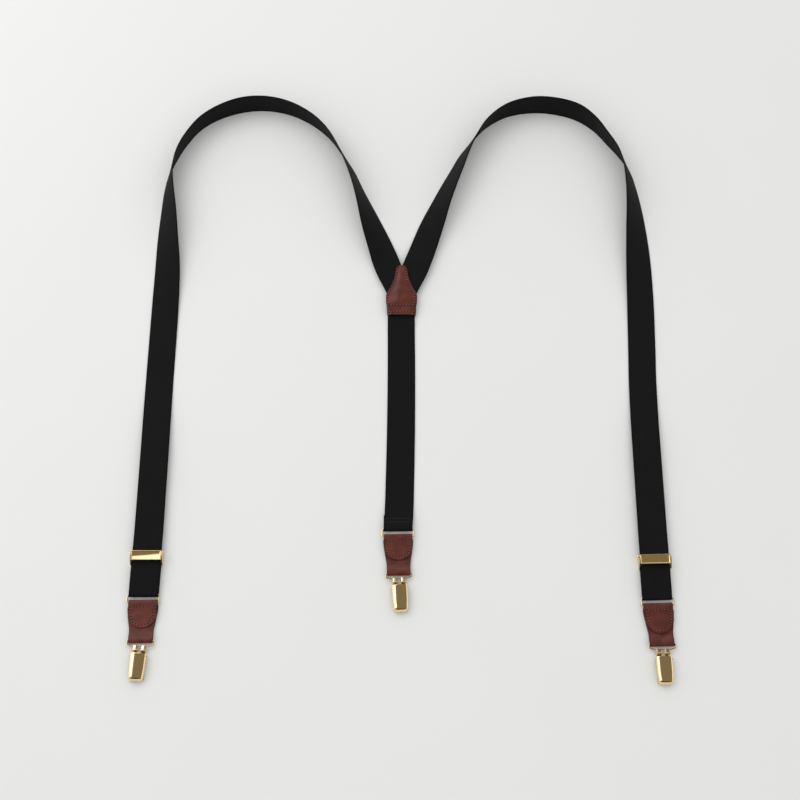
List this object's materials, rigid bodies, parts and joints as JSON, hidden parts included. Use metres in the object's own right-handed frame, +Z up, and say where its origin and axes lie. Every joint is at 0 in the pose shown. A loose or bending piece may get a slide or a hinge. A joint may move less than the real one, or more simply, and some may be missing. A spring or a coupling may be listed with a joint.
{
  "type": "suspenders",
  "caption": "Y-back clip-on suspenders laid out flat: webbing straps, leather yoke and tabs, slide adjusters, rectangular rings and lever clips.",
  "frame": {"origin": "middle of the yoke's underside, on the table that the suspenders are laid on", "axes": "+Y from the clips towards the arches of the shoulder straps, +X to the right of the laid-out suspenders, +Z up from the table, out of the straps' outer face"},
  "size_m": [0.4684, 0.579, 0.0252],
  "materials": {
    "webbing": "black twill elastic webbing with denser selvedges",
    "leather": "smooth reddish brown leather with tone-on-tone stitching",
    "gilt_metal": "polished pale gold plate",
    "grip_pad": "ivory toothed plastic grip pad"
  },
  "bodies": {
    "harness": {"yoke_front": "leather", "yoke_back": "leather", "left_strap": "webbing", "right_strap": "webbing", "rear_strap": "webbing"},
    "left_hem": {"left_strap_fold": "webbing"},
    "left_adjuster": {"left_adjuster_frame": "gilt_metal", "left_adjuster_pin": "gilt_metal"},
    "left_lever": {"left_adjuster_lever": "gilt_metal"},
    "left_ring": {"left_ring": "gilt_metal"},
    "left_tab": {"left_tab": "leather"},
    "left_clip": {"left_clip_base": "gilt_metal", "left_clip_pin": "gilt_metal", "left_clip_back_pad": "grip_pad"},
    "left_cover": {"left_clip_cover": "gilt_metal"},
    "left_jaw": {"left_clip_jaw": "gilt_metal", "left_clip_front_pad": "grip_pad"},
    "right_hem": {"right_strap_fold": "webbing"},
    "right_adjuster": {"right_adjuster_frame": "gilt_metal", "right_adjuster_pin": "gilt_metal"},
    "right_lever": {"right_adjuster_lever": "gilt_metal"},
    "right_ring": {"right_ring": "gilt_metal"},
    "right_tab": {"right_tab": "leather"},
    "right_clip": {"right_clip_base": "gilt_metal", "right_clip_pin": "gilt_metal", "right_clip_back_pad": "grip_pad"},
    "right_cover": {"right_clip_cover": "gilt_metal"},
    "right_jaw": {"right_clip_jaw": "gilt_metal", "right_clip_front_pad": "grip_pad"},
    "rear_ring": {"rear_ring": "gilt_metal"},
    "rear_tab": {"rear_tab": "leather"},
    "rear_clip": {"rear_clip_base": "gilt_metal", "rear_clip_pin": "gilt_metal", "rear_clip_back_pad": "grip_pad"},
    "rear_cover": {"rear_clip_cover": "gilt_metal"},
    "rear_jaw": {"rear_clip_jaw": "gilt_metal", "rear_clip_front_pad": "grip_pad"}
  },
  "joints": [
    {"name": "left_strap_length", "type": "slide", "parent": "harness", "child": "left_hem", "axis": [-0.0041, 1, 0], "range_m": [0, 0.045], "deforming": ["left_strap_fold"]},
    {"name": "left_adjuster_slide", "type": "slide", "parent": "left_hem", "child": "left_adjuster", "axis": [-0.0041, 1, 0], "range_m": [0, 0.045]},
    {"name": "left_lever_tilt", "type": "hinge", "parent": "left_adjuster", "child": "left_lever", "pos_m": [-0.21758, -0.259, 0.0076], "axis": [-1, 0, 0], "range_deg": [0, 70]},
    {"name": "left_ring_swing", "type": "hinge", "parent": "left_hem", "child": "left_ring", "pos_m": [-0.2179, -0.29475, 0.0025], "axis": [-1, 0, 0], "range_deg": [-20, 30]},
    {"name": "left_tab_swing", "type": "hinge", "parent": "left_ring", "child": "left_tab", "pos_m": [-0.2179, -0.30125, 0.0025], "axis": [-1, 0, 0], "range_deg": [-20, 35]},
    {"name": "left_clip_swing", "type": "hinge", "parent": "left_tab", "child": "left_clip", "pos_m": [-0.21744, -0.33415, 0.0025], "axis": [-0.9999, -0.014, 0], "range_deg": [-30, 40]},
    {"name": "left_cover_open", "type": "hinge", "parent": "left_clip", "child": "left_cover", "pos_m": [-0.21803, -0.34753, 0.0048], "axis": [-0.999, 0.0436, 0], "range_deg": [0, 95]},
    {"name": "left_jaw_open", "type": "hinge", "parent": "left_clip", "child": "left_jaw", "pos_m": [-0.21803, -0.34753, 0.0048], "axis": [-0.999, 0.0436, 0], "range_deg": [0, 8]},
    {"name": "right_strap_length", "type": "slide", "parent": "harness", "child": "right_hem", "axis": [0.0077, 1, 0], "range_m": [0, 0.045], "deforming": ["right_strap_fold"]},
    {"name": "right_adjuster_slide", "type": "slide", "parent": "right_hem", "child": "right_adjuster", "axis": [0.0077, 1, 0], "range_m": [0, 0.045]},
    {"name": "right_lever_tilt", "type": "hinge", "parent": "right_adjuster", "child": "right_lever", "pos_m": [0.21564, -0.2624, 0.0076], "axis": [-0.9996, -0.0279, 0], "range_deg": [0, 70]},
    {"name": "right_ring_swing", "type": "hinge", "parent": "right_hem", "child": "right_ring", "pos_m": [0.21555, -0.29755, 0.0025], "axis": [-0.9995, -0.0314, 0], "range_deg": [-20, 30]},
    {"name": "right_tab_swing", "type": "hinge", "parent": "right_ring", "child": "right_tab", "pos_m": [0.21575, -0.30405, 0.0025], "axis": [-0.9995, -0.0314, 0], "range_deg": [-20, 35]},
    {"name": "right_clip_swing", "type": "hinge", "parent": "right_tab", "child": "right_clip", "pos_m": [0.21661, -0.33694, 0.0025], "axis": [-0.9997, -0.0262, 0], "range_deg": [-30, 40]},
    {"name": "right_cover_open", "type": "hinge", "parent": "right_clip", "child": "right_cover", "pos_m": [0.21675, -0.35034, 0.0048], "axis": [-0.9999, -0.0105, 0], "range_deg": [0, 95]},
    {"name": "right_jaw_open", "type": "hinge", "parent": "right_clip", "child": "right_jaw", "pos_m": [0.21675, -0.35034, 0.0048], "axis": [-0.9999, -0.0105, 0], "range_deg": [0, 8]},
    {"name": "rear_ring_swing", "type": "hinge", "parent": "harness", "child": "rear_ring", "pos_m": [-0.00313, -0.23625, 0.0025], "axis": [-1, -0.0087, 0], "range_deg": [-20, 30]},
    {"name": "rear_tab_swing", "type": "hinge", "parent": "rear_ring", "child": "rear_tab", "pos_m": [-0.00307, -0.24275, 0.0025], "axis": [-1, -0.0087, 0], "range_deg": [-20, 35]},
    {"name": "rear_clip_swing", "type": "hinge", "parent": "rear_tab", "child": "rear_clip", "pos_m": [-0.0025, -0.27564, 0.0025], "axis": [-0.9998, -0.0174, 0], "range_deg": [-30, 40]},
    {"name": "rear_cover_open", "type": "hinge", "parent": "rear_clip", "child": "rear_cover", "pos_m": [-0.00175, -0.28902, 0.0048], "axis": [-0.9984, -0.0558, 0], "range_deg": [0, 95]},
    {"name": "rear_jaw_open", "type": "hinge", "parent": "rear_clip", "child": "rear_jaw", "pos_m": [-0.00175, -0.28902, 0.0048], "axis": [-0.9984, -0.0558, 0], "range_deg": [0, 8]}
  ],
  "couplings": [
    {"joint": "left_adjuster_slide", "follows": "left_strap_length", "ratio": 1},
    {"joint": "left_jaw_open", "follows": "left_cover_open", "ratio": 0.084},
    {"joint": "right_adjuster_slide", "follows": "right_strap_length", "ratio": 1},
    {"joint": "right_jaw_open", "follows": "right_cover_open", "ratio": 0.084},
    {"joint": "rear_jaw_open", "follows": "rear_cover_open", "ratio": 0.084}
  ]
}
